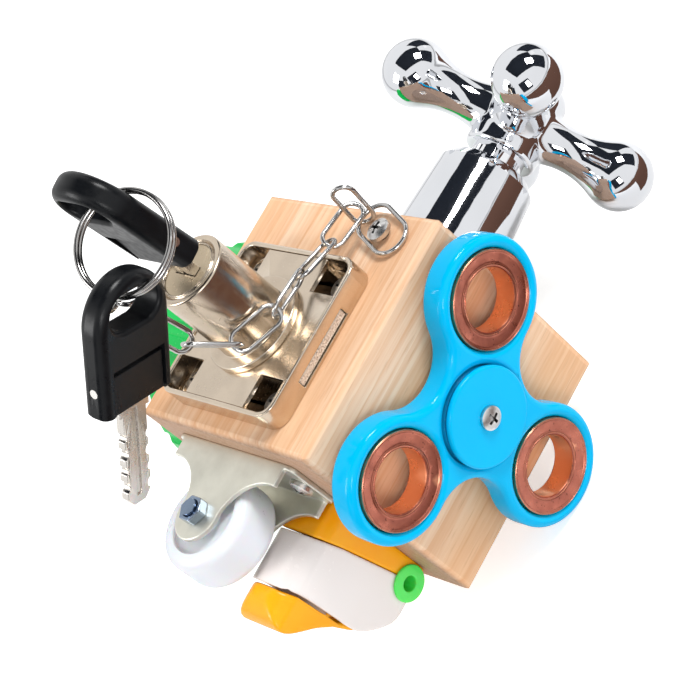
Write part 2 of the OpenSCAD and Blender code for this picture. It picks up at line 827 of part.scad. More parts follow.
// Orange band against the block, with a core between the shell's cheeks
module toy_body() {
  color([0.95, 0.6, 0.1]) difference() {
    toy_rounded() union() {
      toy_plate(toy_w) polygon([[3.4, 0], [37.6, 0], [37.6, 8.9], [30, 7.4], [13, 4.8], [3.4, 4.9]]);
      toy_plate(toy_w - 2 * toy_wall)
        polygon([[5.5, 4], [14, 4], [14, 19.6], [13, 19.4], [8.4, 15.5], [5.2, 11]]);
    }
    toy_cross(eyelet_at, eyelet_r - 1.4 + SLIP, toy_w + 1);
    toy_plate(jaw_w + 2 * CLEAR) translate([7, 12.4]) square([8, 9]);
    toy_cross(jaw_pin, toy_pin_r + SLIP, toy_w + 1);
    toy_screw_place() pilot(toy_seat, EPS);
    toy_screw_place() cylinder(r = pan_r + 0.2, h = 8);
  }
}

// Points on a smooth curve through p, from its first point to its last one
function smooth_run(p, n = 4) = let(c = len(p) - 1) concat([for (i = [0:c - 1], k = [0:n - 1])
  let(t = k / n, a = p[max(i - 1, 0)], b = p[i], d = p[i + 1], e = p[min(i + 2, c)])
  b + t * ((d - a) / 2 + t * (a - 2.5 * b + 2 * d - e / 2
    + t * (1.5 * b - a / 2 - 1.5 * d + e / 2)))], [p[c]]);

// White shell: a roof, an end wall and two cheeks that run on past the core
module toy_cover() {
  outer = concat([[13, 4.9], [30, 7.5], [toy_end, 9.4]], smooth_run([[toy_end, 22.2], [34, 21.1],
    [22.4, 20.7], [17.1, 20.6], [13.5, 19.8], [8.4, 16.2], [4.8, 11.5], [3.5, 7.4], [3.5, 5]]));
  hollow = [[0, 4], [14.2, 4], [14.2, 5.1 + toy_wall], [30, 7.5 + toy_wall],
    [toy_end - toy_wall, 9.4 + toy_wall], [toy_end - toy_wall, 24], [0, 24]];
  color("white") difference() {
    toy_rounded() toy_plate(toy_w) polygon(outer);
    toy_plate(toy_w - 2 * toy_wall) polygon(hollow);
    toy_cross(eyelet_at, eyelet_r - 1.4 + SLIP, toy_w + 1);
  }
}

module toy_eyelet() {
  color([0.35, 0.7, 0.2]) difference() {
    union() {
      toy_cross(eyelet_at, eyelet_r - 1.4, toy_w + 1.6);
      for (s = [-1, 1]) translate([s * (toy_w / 2 + 0.4), 0, 0])
        toy_cross(eyelet_at, eyelet_r, 0.8);
    }
    toy_cross(eyelet_at, eyelet_hole_r, toy_w + 2);
  }
}

module toy_jaw() {
  color([0.95, 0.6, 0.1]) difference() {
    union() {
      toy_rounded(jaw_round) toy_plate(toy_w - 1)
        polygon(concat([[19.2, 21.3], [22.4, 21.2], [34, 21.6]],
          smooth_run([[38.1, 22.5], [38.4, 24.2], [37.8, 26.6], [36, 29], [33.6, 30], [31, 29.3],
            [28, 27.2], [25, 24.9], [21, 22.6]])));
      toy_plate(jaw_w) {
        polygon([[9.4, 17.2], [13.8, 16], [13.9, 18.6], [17.2, 20.6], [20.5, 21.6], [22, 22.8],
          [19.5, 22.6], [12, 20.2]]);
        translate(jaw_pin) circle(2.4);
      }
    }
    toy_cross(jaw_pin, toy_pin_r + SLIP, toy_w + 1);
  }
}

module toy_pin() {
  color("silver") toy_cross(jaw_pin, toy_pin_r, toy_w - 2 * toy_wall - 0.2);
}

module toy_screws() {
  color("silver") toy_screw_place() pan_screw(pan_r, 1.6, shank_r, shank_l + toy_seat);
}

// ---- Dial ----
module dial() {
  color([0.4, 0.75, 0.25], 0.7) on_dial(-half - dial_gap) difference() {
    round_disc(dial_r, dial_h, 1.2);
    translate([0, 0, -EPS]) tube(dial_r - dial_wall - flute_r / 2, dial_bore_r + 3.5,
      dial_h - dial_wall);
    translate([0, 0, -EPS]) cylinder(r = dial_bore_r + SLIP, h = dial_h + 1);
    for (i = [0:dial_flutes - 1]) rotate([0, 0, i * 360 / dial_flutes])
      translate([dial_r + flute_r * 0.6, 0, -1]) cylinder(r = flute_r, h = dial_h + 2, $fn = 24);
  }
}

// Sleeve that the dial turns on
module dial_hub() {
  color("silver") on_dial(-half) difference() {
    union() {
      cylinder(r = dial_bore_r + 2.5, h = dial_gap - CLEAR);
      cylinder(r = dial_bore_r, h = dial_gap + dial_h + CLEAR);
    }
    translate([0, 0, -EPS]) cylinder(r = 2 + SLIP, h = dial_gap + dial_h + 1);
  }
}

module dial_washer() {
  color("silver") on_dial(-half - dial_gap - dial_h - CLEAR) tube(7, 2 + SLIP, washer_t);
}

module dial_screw() {
  over = dial_gap + dial_h + CLEAR + washer_t;
  color("silver") on_dial(-half - over) pan_screw(3.8, 2, 2, over + 11);
}

// ---- Assembly ----
block();
lock_case();
lock_cover();
lock_cylinder();
lock_plug();
lock_cam();
lock_bolt();
lock_screws();
key1_blade();
key1_base();
key1_head();
key1_pin();
key2_blade();
key2_base();
key2_head();
key2_pin();
key_ring();
chain_screw();
chain_link(0);  // chain_link_0
chain_link(1);  // chain_link_1
chain_link(2);  // chain_link_2
chain_link(3);  // chain_link_3
chain_link(4);  // chain_link_4
chain_link(5);  // chain_link_5
chain_link(6);  // chain_link_6
chain_link(7);  // chain_link_7
chain_link(8);  // chain_link_8
chain_link(9);  // chain_link_9
spinner_body();
spinner_rings();
bearing_outer();
bearing_balls();
bearing_inner();
spinner_cap();
spinner_spacer();
spinner_screw();
tap_skirt();
tap_valve();
tap_stem();
tap_handle();
tap_button();
caster_fork();
caster_wheel();
caster_axle();
caster_nut();
caster_screws();
toy_body();
toy_cover();
toy_eyelet();
toy_jaw();
toy_pin();
toy_screws();
dial();
dial_hub();
dial_washer();
dial_screw();
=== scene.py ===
"""Wooden busy cube: a pine block with a key lock and chain, a three-lobed spinner, a cross-handle tap,
a plate caster, a snap toy and a fluted dial.  Metres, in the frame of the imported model."""
import json
import math

import bmesh
import bpy
import numpy as np
from mathutils import Matrix, Vector

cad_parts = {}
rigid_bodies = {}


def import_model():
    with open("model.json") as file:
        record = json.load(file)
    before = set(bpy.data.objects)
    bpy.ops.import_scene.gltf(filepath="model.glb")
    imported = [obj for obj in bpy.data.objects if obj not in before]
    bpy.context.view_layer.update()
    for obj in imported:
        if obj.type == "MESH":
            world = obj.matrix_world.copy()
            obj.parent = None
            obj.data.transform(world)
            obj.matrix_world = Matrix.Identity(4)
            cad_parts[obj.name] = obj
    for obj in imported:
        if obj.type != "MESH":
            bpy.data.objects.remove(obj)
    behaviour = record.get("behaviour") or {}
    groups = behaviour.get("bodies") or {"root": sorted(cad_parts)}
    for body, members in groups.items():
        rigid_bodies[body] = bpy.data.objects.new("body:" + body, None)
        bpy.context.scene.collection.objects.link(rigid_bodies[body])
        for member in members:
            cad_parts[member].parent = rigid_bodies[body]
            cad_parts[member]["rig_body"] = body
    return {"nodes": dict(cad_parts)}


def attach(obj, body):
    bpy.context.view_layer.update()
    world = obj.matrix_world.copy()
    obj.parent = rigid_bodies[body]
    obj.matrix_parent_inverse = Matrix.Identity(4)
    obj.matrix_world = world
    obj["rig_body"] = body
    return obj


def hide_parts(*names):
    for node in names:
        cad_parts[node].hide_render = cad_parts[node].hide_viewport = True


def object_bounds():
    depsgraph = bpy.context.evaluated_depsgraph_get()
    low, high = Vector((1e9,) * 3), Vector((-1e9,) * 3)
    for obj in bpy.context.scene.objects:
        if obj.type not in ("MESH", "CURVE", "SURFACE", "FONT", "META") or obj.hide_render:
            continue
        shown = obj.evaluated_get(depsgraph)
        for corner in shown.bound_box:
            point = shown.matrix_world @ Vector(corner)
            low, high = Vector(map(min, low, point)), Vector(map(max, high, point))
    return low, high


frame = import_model()
cad_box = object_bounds()
nodes = frame["nodes"]

MM = 0.001
HALF = 30 * MM              # half of the block's side
MIDDLE = Vector((0, 0, HALF))
WELD_REACH = 0.002 * MM     # points closer than this are one point


def added(name, data):
    """A new object in the scene."""
    piece = bpy.data.objects.new(name, data)
    bpy.context.scene.collection.objects.link(piece)
    return piece


# ---- Camera: the photograph's, from a fit to the block's corners ----
CAMERA_PLACE = (0.349096, -0.103841, 0.312715)
CAMERA_RIGHT = Vector((0.62725, 0.48151, -0.61213))
CAMERA_DOWN = Vector((0.14321, -0.84388, -0.51707))
CAMERA_FORWARD = Vector((-0.76554, 0.23667, -0.59828))
CAMERA_LENS = 103.87        # millimetres, on a sensor of SENSOR_WIDTH
SENSOR_WIDTH = 36
NEAREST = 0.01


def add_camera():
    camera = added("camera", bpy.data.cameras.new("camera"))
    camera.data.lens = CAMERA_LENS
    camera.data.sensor_width = SENSOR_WIDTH
    camera.data.clip_start = NEAREST
    turn = Matrix((CAMERA_RIGHT, -CAMERA_DOWN, -CAMERA_FORWARD)).transposed().to_4x4()
    camera.matrix_world = Matrix.Translation(CAMERA_PLACE) @ turn
    bpy.context.scene.camera = camera


# ---- Shader helpers ----
def rgb(red, green, blue):
    """Linear colour from 0 to 255 values."""
    def linear(v):
        v /= 255
        return v / 12.92 if v <= 0.04045 else ((v + 0.055) / 1.055) ** 2.4
    return (linear(red), linear(green), linear(blue), 1)


class Shader:
    """A material with a Principled BSDF and short calls for the nodes that feed it."""

    def __init__(self, name, colour, roughness, metallic=0.0, **sockets):
        self.material = bpy.data.materials.new(name)
        self.material.use_nodes = True
        self.tree = self.material.node_tree
        self.bsdf = self.tree.nodes["Principled BSDF"]
        self.set("Base Color", colour)
        self.set("Roughness", roughness)
        self.set("Metallic", metallic)
        for socket, value in sockets.items():
            self.set(socket.replace("_", " "), value)
        self.material.diffuse_color = colour
        self.place = self.node("ShaderNodeTexCoord").outputs["Object"]

    def set(self, socket, value):
        self.bsdf.inputs[socket].default_value = value

    def node(self, kind, **settings):
        made = self.tree.nodes.new(kind)
        for key, value in settings.items():
            setattr(made, key, value)
        return made

    def link(self, source, target):
        self.tree.links.new(source, target)

    def stretched(self, x, y, z):
        """The object's coordinates scaled along each axis."""
        made = self.node("ShaderNodeMapping")
        made.inputs["Scale"].default_value = (x, y, z)
        self.link(self.place, made.inputs["Vector"])
        return made.outputs["Vector"]

    def noise(self, scale, detail=3, where=None):
        made = self.node("ShaderNodeTexNoise")
        made.inputs["Scale"].default_value = scale
        made.inputs["Detail"].default_value = detail
        self.link(where or self.place, made.inputs["Vector"])
        return made.outputs["Fac"]

    def maths(self, operation, a, b=0.0):
        made = self.node("ShaderNodeMath", operation=operation)
        for socket, value in zip(made.inputs, (a, b)):
            if isinstance(value, (int, float)):
                socket.default_value = value
            else:
                self.link(value, socket)
        return made.outputs["Value"]

    def spread(self, source, low, high, to_low, to_high):
        """Maps low..high to to_low..to_high, and holds the ends."""
        made = self.node("ShaderNodeMapRange")
        for socket, value in zip(list(made.inputs)[1:5], (low, high, to_low, to_high)):
            socket.default_value = value
        self.link(source, made.inputs["Value"])
        return made.outputs["Result"]

    def mix(self, factor, a, b):
        made = self.node("ShaderNodeMix", data_type="RGBA")
        colours = made.inputs[6], made.inputs[7]
        for socket, value in zip((made.inputs["Factor"], *colours), (factor, a, b)):
            if isinstance(value, (int, float, tuple)):
                socket.default_value = value
            else:
                self.link(value, socket)
        return made.outputs[2]

    def edges(self):
        """0 on flat faces, up to 1 on worn outer edges."""
        bend = self.node("ShaderNodeNewGeometry").outputs["Pointiness"]
        return self.spread(bend, 0.5, 0.58, 0, 1)

    def facing(self, axis):
        """How squarely a surface faces along X, Y or Z: 0 to 1."""
        apart = self.node("ShaderNodeSeparateXYZ")
        self.link(self.node("ShaderNodeNewGeometry").outputs["Normal"], apart.inputs[0])
        return self.maths("ABSOLUTE", apart.outputs[axis])

    def shade_in_hollows(self, reach_mm):
        """0 in the open, 1 deep in a recess: the mask for painted shade."""
        near = self.node("ShaderNodeAmbientOcclusion", samples=8)
        near.inputs["Distance"].default_value = reach_mm * MM
        return self.spread(near.outputs["AO"], 0.35, 0.85, 1, 0)

    def colour(self, source):
        self.link(source, self.bsdf.inputs["Base Color"])

    def rough(self, source, low, high):
        self.link(self.spread(source, 0.3, 0.7, low, high), self.bsdf.inputs["Roughness"])

    def bump(self, source, strength, depth_mm):
        made = self.node("ShaderNodeBump")
        made.inputs["Strength"].default_value = strength
        made.inputs["Distance"].default_value = depth_mm * MM
        self.link(source, made.inputs["Height"])
        self.link(made.outputs["Normal"], self.bsdf.inputs["Normal"])


# ---- Materials ----
RINGS_PER_METRE = 330
PITH = (0.062, 0, 0.048)    # the block's middle as seen from the middle of the tree


def pine():
    """Planed pine: rings about an axis outside the block, along Y, with end grain on the Y faces."""
    s = Shader("pine", rgb(240, 204, 168), 0.55, Specular_IOR_Level=0.35)
    long_grain = s.stretched(1, 0.05, 1)
    wander = s.maths("MULTIPLY", s.noise(38, 3, long_grain), 0.012)
    axis = s.node("ShaderNodeVectorMath", operation="ADD")
    s.link(s.stretched(1, 0, 1), axis.inputs[0])
    axis.inputs[1].default_value = PITH
    length = s.node("ShaderNodeVectorMath", operation="LENGTH")
    s.link(axis.outputs["Vector"], length.inputs[0])
    radius = s.maths("ADD", length.outputs["Value"], wander)
    ring = s.maths("FRACT", s.maths("MULTIPLY", radius, RINGS_PER_METRE))
    late = s.maths("POWER", ring, 2.4)
    fibre = s.noise(900, 4, s.stretched(1, 0.03, 1))
    broad = s.noise(60, 2, long_grain)
    ground = s.mix(s.spread(broad, 0.35, 0.65, 0, 1), rgb(252, 227, 200), rgb(242, 200, 160))
    lined = s.mix(s.maths("MULTIPLY", late, 0.42), ground, rgb(220, 160, 114))
    flecks = s.noise(1500, 2, s.stretched(1, 0.07, 1))
    fine = s.mix(s.spread(fibre, 0.4, 0.68, 0, 0.5), lined, rgb(216, 152, 104))
    streaked = s.mix(s.spread(flecks, 0.6, 0.7, 0, 0.3), fine, rgb(176, 122, 84))
    # End grain is greyer and rougher
    end = s.spread(s.facing("Y"), 0.6, 0.9, 0, 1)
    pores = s.noise(2600, 3)
    end_colour = s.mix(s.spread(pores, 0.4, 0.62, 0, 0.8), rgb(172, 150, 136), rgb(128, 104, 90))
    end_rings = s.mix(s.maths("MULTIPLY", late, 0.5), end_colour, rgb(126, 96, 78))
    dusty = s.mix(s.maths("MULTIPLY", end, 0.85), streaked, end_rings)
    s.colour(s.mix(s.maths("MULTIPLY", s.edges(), 0.35), dusty, rgb(200, 150, 108)))
    s.rough(fibre, 0.48, 0.66)
    s.bump(s.maths("ADD", fibre, s.maths("MULTIPLY", late, 0.4)), 0.35, 0.06)
    return s.material


def metal(name, colour, roughness, worn, grain=1400, bump=0.08, stain=0.35, painted_shade=0):
    """Plated metal: fine grain, soft stains, edges rubbed brighter and painted shade in the hollows.
    """
    s = Shader(name, colour, roughness, 1.0)
    fine = s.noise(grain, 3)
    cloud = s.noise(90, 4)
    dull = tuple(0.62 * c for c in colour[:3]) + (1,)
    stained = s.mix(s.spread(cloud, 0.42, 0.68, 0, stain), colour, dull)
    rubbed_and_shaded = s.mix(s.maths("MULTIPLY", s.edges(), 0.6), stained, worn)
    if painted_shade:
        # Painted shade: recesses darkened by ambient occlusion
        rubbed_and_shaded = s.mix(s.maths("MULTIPLY", s.shade_in_hollows(0.8), painted_shade), rubbed_and_shaded, rgb(34, 32, 30))
    s.colour(rubbed_and_shaded)
    s.rough(s.maths("ADD", s.maths("MULTIPLY", fine, 0.5), s.maths("MULTIPLY", cloud, 0.5)),
            roughness * 0.75, roughness * 1.35)
    s.bump(fine, bump, 0.03)
    return s.material


def moulded(name, colour, shade, roughness, mottle=0.3, bump=0.1, bump_scale=900, **sockets):
    """Moulded plastic: faint flow marks in the colour and a fine skin on the gloss."""
    s = Shader(name, colour, roughness, **sockets)
    flow = s.noise(55, 3)
    skin = s.noise(bump_scale, 3)
    marked = s.mix(s.spread(flow, 0.35, 0.7, 0, mottle), colour, shade)
    s.colour(s.mix(s.maths("MULTIPLY", s.edges(), 0.25), marked, shade))
    s.rough(s.maths("ADD", s.maths("MULTIPLY", flow, 0.5), s.maths("MULTIPLY", skin, 0.5)),
            roughness * 0.7, roughness * 1.5)
    s.bump(skin, bump, 0.03)
    return s.material


def copper():
    """Copper liner: brown pitted face, bright bore, polished where it is rounded."""
    s = Shader("copper", rgb(190, 116, 98), 0.34, 1.0)
    cloud = s.noise(260, 4)
    pits = s.noise(1500, 2)
    brown = s.mix(s.spread(cloud, 0.35, 0.7, 0, 0.7), rgb(200, 122, 102), rgb(154, 88, 74))
    pitted = s.mix(s.spread(pits, 0.66, 0.72, 0, 0.8), brown, rgb(70, 40, 34))
    bore = s.spread(s.facing("X"), 0.15, 0.6, 1, 0)
    turned = s.mix(bore, pitted, rgb(255, 182, 140))
    s.colour(s.mix(s.edges(), turned, rgb(250, 176, 140)))
    s.rough(cloud, 0.22, 0.42)
    s.bump(pits, 0.25, 0.05)
    return s.material


def crumpled_bolt():
    """Die-cast bolt with a rough, glittering end."""
    s = Shader("bolt_cast", rgb(232, 228, 222), 0.35, 0.7)
    crumbs = s.noise(2600, 4)
    s.colour(s.mix(s.spread(crumbs, 0.35, 0.62, 0, 1), rgb(176, 170, 164), rgb(250, 248, 244)))
    s.rough(crumbs, 0.25, 0.5)
    s.bump(crumbs, 0.8, 0.15)
    return s.material


# ---- Piece helpers ----
def weld(piece):
    piece.modifiers.new("weld", "WELD").merge_threshold = WELD_REACH


def even(piece):
    """Smooth light across flat faces."""
    piece.modifiers.new("even", "WEIGHTED_NORMAL").keep_sharp = False


def paint(material, *names):
    for name in names:
        mesh = nodes[name].data
        mesh.materials.clear()
        mesh.materials.append(material)


def round_edges(width_mm, *names, segments=3, angle=32):
    """Breaks the sharp edges of CAD nodes with modifiers, so their own meshes stay as they are."""
    for name in names:
        piece = nodes[name]
        weld(piece)
        bevel = piece.modifiers.new("bevel", "BEVEL")
        bevel.width = width_mm * MM
        bevel.segments = segments
        bevel.limit_method = "ANGLE"
        bevel.angle_limit = math.radians(angle)
        bevel.use_clamp_overlap = True
        even(piece)


def finished(piece):
    """The piece with its modifiers applied."""
    name = piece.name
    view = bpy.context.evaluated_depsgraph_get()
    mesh = bpy.data.meshes.new_from_object(piece.evaluated_get(view))
    for face in mesh.polygons:
        face.use_smooth = True
    bpy.data.objects.remove(piece)
    return added(name, mesh)


def stand_in(piece, node, material):
    """Puts the piece in the node's place: it rides on the node's body and hides the node."""
    piece.data.materials.clear()
    piece.data.materials.append(material)
    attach(piece, nodes[node]["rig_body"])
    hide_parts(node)


def blended(piece, voxel_mm, rounds):
    """The piece's mesh as one skin with its creases blended."""
    weld(piece)
    remesh = piece.modifiers.new("remesh", "REMESH")
    remesh.mode = "VOXEL"
    remesh.voxel_size = voxel_mm * MM
    smooth = piece.modifiers.new("smooth", "SMOOTH")
    smooth.factor = 0.5
    smooth.iterations = rounds
    return finished(piece)


def softened(name, node, voxel_mm, rounds):
    """A copy of a CAD node with its creases blended, as on a casting or a moulding."""
    return blended(added(name, nodes[node].data.copy()), voxel_mm, rounds)


def add_loop(curve, places):
    """A closed run through the places, in the curve."""
    spline = curve.splines.new("POLY")
    spline.points.add(len(places) - 1)
    for point, place in zip(spline.points, places):
        point.co = (*place, 1)
    spline.use_cyclic_u = True


def curve_plate(name, loops, thick, round_r):
    """A plate from z = 0 to thick with rounded rims, from closed loops of (x, y)."""
    curve = bpy.data.curves.new(name, "CURVE")
    curve.dimensions = "2D"
    curve.fill_mode = "BOTH"
    curve.extrude = thick / 2 - round_r
    curve.bevel_depth = round_r
    curve.bevel_resolution = RIM_STEPS
    curve.offset = -round_r
    for loop in loops:
        add_loop(curve, [(x, y, 0) for x, y in loop])
    made = finished(added(name, curve))
    made.data.transform(Matrix.Translation((0, 0, thick / 2)))
    return made


def arc(centre, radius, start, end, count):
    """Points on a round, angles in radians, without the last one."""
    turns = [start + (end - start) * i / count for i in range(count)]
    return [(centre[0] + radius * math.cos(t), centre[1] + radius * math.sin(t)) for t in turns]


def lathe(name, profile, turns):
    """A turned piece about Z from a closed (radius, height) outline."""
    count = len(profile)
    points = []
    faces = []
    for i in range(turns):
        turn = 2 * math.pi * i / turns
        points += [(r * math.cos(turn), r * math.sin(turn), z) for r, z in profile]
        here = i * count
        there = (i + 1) % turns * count
        for k in range(count):
            after = (k + 1) % count
            faces.append((here + k, there + k, there + after, here + after))
    mesh = bpy.data.meshes.new(name)
    mesh.from_pydata(points, [], faces)
    return added(name, mesh)


# ---- Block ----
def dress_block():
    paint(pine(), "block")


# ---- Lock ----
def dress_lock():
    nickel = metal("nickel", rgb(206, 190, 170), 0.22, rgb(240, 228, 212), 1100, bump=0.05)
    brass = metal("plug_brass", rgb(186, 168, 142), 0.3, rgb(232, 216, 186))
    paint(nickel, "lock_case", "lock_cover", "lock_cylinder")
    paint(brass, "lock_plug")
    paint(crumpled_bolt(), "lock_bolt")
    paint(metal("dark_steel", rgb(120, 116, 112), 0.35, rgb(180, 176, 170)), "lock_cam")
    round_edges(0.35, "lock_case", "lock_cylinder", "lock_plug")
    round_edges(0.15, "lock_cover", "lock_bolt")


# ---- Keys, ring and chain ----
LINKS = 10
BEND_STEPS = 16             # points on each round end of a link
WIRE_STEPS = 4


def dress_keys():
    black = moulded("black_plastic", rgb(11, 13, 16), rgb(20, 21, 24), 0.3, bump=0.16,
                    bump_scale=700, Specular_IOR_Level=0.22)
    steel = metal("key_steel", rgb(214, 208, 200), 0.24, rgb(245, 242, 238), 1300)
    for key in ("key1", "key2"):
        paint(black, key + "_head", key + "_base")
        paint(steel, key + "_blade", key + "_pin")
        round_edges(0.4, key + "_base")
        round_edges(0.15, key + "_blade")
        round_edges(0.25, key + "_head", angle=40)


def link_loop(name):
    """The middle line and the wire radius of a chain link, read from the spread of its own mesh."""
    spots = np.array([v.co for v in nodes[name].data.vertices])
    axes = np.linalg.eigh(np.cov(spots.T))[1][:, ::-1].T     # along, across and out of the loop
    spans = spots @ axes.T
    low, high = spans.min(axis=0), spans.max(axis=0)
    half_l, half_w, wire = (high - low) / 2
    middle = (high + low) / 2 @ axes
    run, bend = half_l - half_w, half_w - wire
    loop = []
    for i in range(2 * BEND_STEPS):
        turn = math.pi * ((i + 0.5) / BEND_STEPS - 0.5)
        side = run if i < BEND_STEPS else -run
        along = axes[0] * (side + bend * math.cos(turn))
        loop.append(middle + along + axes[1] * bend * math.sin(turn))
    return loop, wire


def wire_loop(name, loop, radius):
    """A closed round wire along the loop."""
    curve = bpy.data.curves.new(name, "CURVE")
    curve.dimensions = "3D"
    curve.bevel_depth = radius
    curve.bevel_resolution = WIRE_STEPS
    add_loop(curve, loop)
    return finished(added(name, curve))


def dress_chain():
    bright = metal("bright_steel", rgb(170, 168, 166), 0.16, rgb(236, 236, 236), 1600)
    for i in range(LINKS):
        node = "chain_link_%d" % i
        stand_in(wire_loop("link_wire_%d" % i, *link_loop(node)), node, bright)
    paint(bright, "key_ring")
    weld(nodes["key_ring"])
    even(nodes["key_ring"])


def dress_screws():
    # The screws get painted shade in their recesses and slots
    zinc = metal("screw_zinc", rgb(206, 204, 202), 0.3, rgb(246, 246, 244), 1500, painted_shade=0.95)
    names = ("chain_screw", "lock_screws", "spinner_screw", "caster_screws", "toy_screws",
             "dial_screw", "dial_washer", "dial_hub", "toy_pin", "spinner_spacer")
    paint(zinc, *names)
    round_edges(0.12, "dial_washer")


# ---- Spinner ----
LOBES = 3
LOBE_REACH = 25 * MM        # from the spinner's axis to the middle of a lobe
LOBE_R = 14.1 * MM
WAIST = 13.7 * MM           # from the spinner's axis to the nearest rim
BORE_R = 11.06 * MM
SPINNER_T = 7 * MM
SPINNER_X = 32 * MM         # the spinner's back face
SPINNER_TURN = math.radians(33.63)
RIM_R = 1.6 * MM
RIM_STEPS = 5


def lobe_angle(i):
    return math.pi / 2 + SPINNER_TURN + 2 * math.pi / LOBES * i


def spot(reach, angle):
    """A place in the spinner's plane."""
    return (reach * math.cos(angle), reach * math.sin(angle))


def spinner_outline():
    """Lobes and the waists between them, as one loop of arcs that meet without a corner."""
    waist_r = ((WAIST ** 2 + LOBE_REACH ** 2 - WAIST * LOBE_REACH - LOBE_R ** 2)
               / (LOBE_REACH + 2 * LOBE_R - 2 * WAIST))
    waist_reach = WAIST + waist_r
    sixth = math.pi / 3
    open_lobe = math.atan2(waist_reach * math.sin(sixth), waist_reach * math.cos(sixth) - LOBE_REACH)
    open_waist = open_lobe - sixth
    loop = []
    for i in range(LOBES):
        out = lobe_angle(i)
        loop += arc(spot(LOBE_REACH, out), LOBE_R, out - open_lobe, out + open_lobe, 60)
        between = out + sixth
        inward = between + math.pi
        loop += arc(spot(waist_reach, between), waist_r, inward + open_waist, inward - open_waist, 24)
    return loop


def dress_spinner():
    blue = moulded("blue_plastic", rgb(0, 182, 234), rgb(0, 166, 222), 0.08, 0.35, 0.04,
                   Specular_IOR_Level=0.13)
    bores = [(0, 0)] + [spot(LOBE_REACH, lobe_angle(i)) for i in range(LOBES)]
    loops = [spinner_outline()] + [arc(bore, BORE_R, 0, 2 * math.pi, 96) for bore in bores]
    body = curve_plate("spinner_shell", loops, SPINNER_T, RIM_R)
    on_face = Matrix.Translation((SPINNER_X, 0, HALF)) @ Matrix.Rotation(math.pi / 2, 4, "Y")
    body.data.transform(on_face)
    stand_in(body, "spinner_body", blue)
    paint(blue, "spinner_cap")
    paint(copper(), "spinner_rings")
    paint(metal("bearing_steel", rgb(200, 200, 204), 0.2, rgb(250, 250, 250)),
          "bearing_outer", "bearing_inner", "bearing_balls")
    round_edges(0.3, "spinner_rings")


# ---- Tap ----
ARMS = 4
ARM_CENTRE = Vector((0, 73.5 * MM, HALF))   # where the arms' axes cross
ARM_NECK_R = 5.2 * MM
ARM_NECK_AT = 14.4 * MM     # from the arms' crossing to the neck
ARM_FLARE_R = 18 * MM       # radius of the hollow between the neck and the hub
ROOT_START = 0.2            # the flare starts at this share of the way to the neck
ROOT_STEPS = 10
ROOT_TURNS = 48


def arm_root():
    """The flare from the hub's middle out to an arm's neck."""
    side = []
    for i in range(ROOT_STEPS + 1):
        at = ARM_NECK_AT * (ROOT_START + (1 - ROOT_START) * i / ROOT_STEPS)
        hollow = math.sqrt(ARM_FLARE_R ** 2 - (ARM_NECK_AT - at) ** 2)
        side.append((ARM_NECK_R + ARM_FLARE_R - hollow, at))
    return lathe("arm_root", [(0, side[0][1])] + side + [(0, side[-1][1])], ROOT_TURNS)


def add_into(piece, other, place):
    """Adds other's mesh to piece's, and removes other."""
    mesh = bmesh.new()
    mesh.from_mesh(piece.data)
    other.data.transform(place)
    mesh.from_mesh(other.data)
    mesh.to_mesh(piece.data)
    mesh.free()
    bpy.data.objects.remove(other)


def dress_tap():
    chrome = metal("chrome", rgb(226, 228, 232), 0.04, rgb(250, 250, 252), 1800, bump=0.01, stain=0.12)
    paint(chrome, "tap_skirt", "tap_stem", "tap_button")
    paint(metal("valve_brass", rgb(190, 160, 104), 0.35, rgb(230, 204, 150)), "tap_valve")
    round_edges(0.6, "tap_skirt", segments=4)
    cross = added("tap_cross", nodes["tap_handle"].data.copy())
    for i in range(ARMS):
        turn = Matrix.Rotation(math.radians(45 + 90 * i), 4, "Y")
        add_into(cross, arm_root(), Matrix.Translation(ARM_CENTRE) @ turn)
    stand_in(blended(cross, 0.35, 20), "tap_handle", chrome)


# ---- Caster ----
def dress_caster():
    zinc = metal("zinc_sheet", rgb(224, 222, 209), 0.42, rgb(236, 236, 228), 500, bump=0.2, stain=0.4)
    blue_zinc = metal("blue_zinc", rgb(104, 122, 146), 0.16, rgb(215, 228, 242))
    nylon = moulded("white_nylon", rgb(234, 237, 243), rgb(220, 225, 234), 0.32, 0.3, 0.1, 600,
                    Subsurface_Weight=0.35, Subsurface_Scale=0.004, Transmission_Weight=0.1)
    stand_in(softened("fork_pressing", "caster_fork", 0.22, 4), "caster_fork", zinc)
    paint(blue_zinc, "caster_axle", "caster_nut")
    paint(nylon, "caster_wheel")
    round_edges(0.3, "caster_nut", "caster_axle", "caster_wheel")


# ---- Snap toy ----
def dress_toy():
    orange = moulded("orange_plastic", rgb(252, 164, 12), rgb(255, 184, 30), 0.2, 0.6, 0.05,
                     Specular_IOR_Level=0.25, Subsurface_Weight=0.2, Subsurface_Scale=0.003)
    white = moulded("white_plastic", rgb(238, 231, 228), rgb(228, 219, 215), 0.2, 0.3, 0.04)
    green = moulded("eyelet_green", rgb(70, 232, 92), rgb(110, 240, 110), 0.12, 0.5, 0.04,
                    Subsurface_Weight=0.5, Subsurface_Scale=0.003)
    stand_in(softened("toy_frame", "toy_body", 0.3, 12), "toy_body", orange)
    stand_in(softened("toy_shell", "toy_cover", 0.3, 8), "toy_cover", white)
    stand_in(softened("toy_lip", "toy_jaw", 0.3, 30), "toy_jaw", orange)
    paint(green, "toy_eyelet")
    round_edges(0.35, "toy_eyelet")


# ---- Dial ----
def dress_dial():
    green = moulded("green_plastic", rgb(0, 190, 84), rgb(0, 160, 66), 0.2, 0.3, 0.05,
                    Specular_IOR_Level=0.25)
    paint(green, "dial")
    round_edges(0.3, "dial")


# ---- Studio ----
FILL = 0.53                 # the world's strength on matt surfaces
FLOOR_GLOW = 0.55           # the floor's own white, to the camera only
FLOOR_SIDE = 12.0
FLOOR_Z = cad_box[0].z
CARD_RISE = 1 * MM          # cards on the floor lie this much above it
SKY = 1.0                   # height that a card on the floor looks up to


